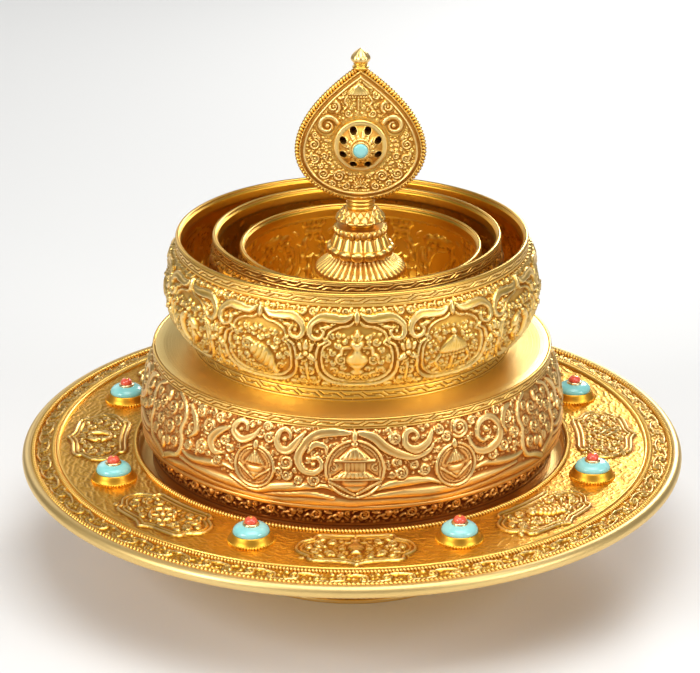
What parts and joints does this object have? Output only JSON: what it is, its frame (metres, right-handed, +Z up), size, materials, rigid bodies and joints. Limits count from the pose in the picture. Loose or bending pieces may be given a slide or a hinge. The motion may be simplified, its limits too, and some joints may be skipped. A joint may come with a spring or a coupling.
{
  "type": "mandala offering plate",
  "caption": "Gilt offering set: footed tray set with turquoise and coral, embossed drum base, nested lift-off rings and a leaf-shaped wheel finial.",
  "frame": {"origin": "centre of the tray's foot, on the table", "axes": "+Z up along the tray's axis, -Y towards the front, where the leaf's wheel faces"},
  "size_m": [0.3199, 0.32, 0.2531],
  "materials": {
    "gilt": "fire-gilt copper, chased and burnished, dark patina in the recesses",
    "gilt_rose": "worn fire-gilt copper with a rosy tone, embossed",
    "gilt_polished": "lathe-polished satin gilt",
    "gilt_dark": "dark oxidised gilt",
    "turquoise": "waxed pale turquoise",
    "coral": "polished coral",
    "silver": "pale polished silver"
  },
  "bodies": {
    "tray": {"tray_dish": "gilt", "tray_rim_roll": "gilt", "tray_outer_bead_wire": "gilt", "tray_middle_bead_wire": "gilt", "tray_ridge_wire": "gilt", "tray_inner_bead_wire": "gilt", "tray_foot": "gilt", "tray_foot_ring": "gilt", "tray_rope_wire": "gilt", "stone_collets": "gilt", "turquoise_beads": "turquoise", "coral_collars": "silver", "coral_beads": "coral", "stone_pins": "gilt"},
    "base": {"base_wall": "gilt_rose", "base_plate": "gilt_polished", "base_fret_band": "gilt", "base_bead_wire": "gilt_rose", "base_fringe": "gilt_rose", "base_stiffener": "gilt"},
    "large_ring": {"large_ring_wall": "gilt", "large_ring_rim_band": "gilt", "large_ring_foot_band": "gilt", "large_ring_rim_wire": "gilt"},
    "medium_ring": {"medium_ring_wall": "gilt", "medium_ring_rim_band": "gilt", "medium_ring_foot_band": "gilt", "medium_ring_rim_wire": "gilt"},
    "small_ring": {"small_ring_wall": "gilt", "small_ring_rim_band": "gilt", "small_ring_foot_band": "gilt", "small_ring_rim_wire": "gilt"},
    "finial": {"finial_spigot": "gilt", "finial_skirt": "gilt", "finial_lotus": "gilt", "finial_collar": "gilt", "finial_knop": "gilt", "finial_neck": "gilt", "leaf_front": "gilt", "leaf_back": "gilt", "leaf_strip": "gilt", "leaf_bead_wire": "gilt", "wheel_front": "gilt", "wheel_back": "gilt", "wheel_backing": "gilt_dark", "wheel_bezels": "gilt", "wheel_turquoises": "turquoise", "tip_collar": "gilt", "tip_bud": "gilt", "finial_rod": "gilt", "finial_nut": "gilt"}
  },
  "joints": [
    {"name": "base_lift", "type": "slide", "parent": "tray", "child": "base", "axis": [0, 0, 1], "range_m": [0, 0.1]},
    {"name": "large_ring_lift", "type": "slide", "parent": "base", "child": "large_ring", "axis": [0, 0, 1], "range_m": [0, 0.15]},
    {"name": "medium_ring_lift", "type": "slide", "parent": "base", "child": "medium_ring", "axis": [0, 0, 1], "range_m": [0, 0.15]},
    {"name": "small_ring_lift", "type": "slide", "parent": "base", "child": "small_ring", "axis": [0, 0, 1], "range_m": [0, 0.15]},
    {"name": "finial_lift", "type": "slide", "parent": "base", "child": "finial", "axis": [0, 0, 1], "range_m": [0, 0.08]}
  ]
}
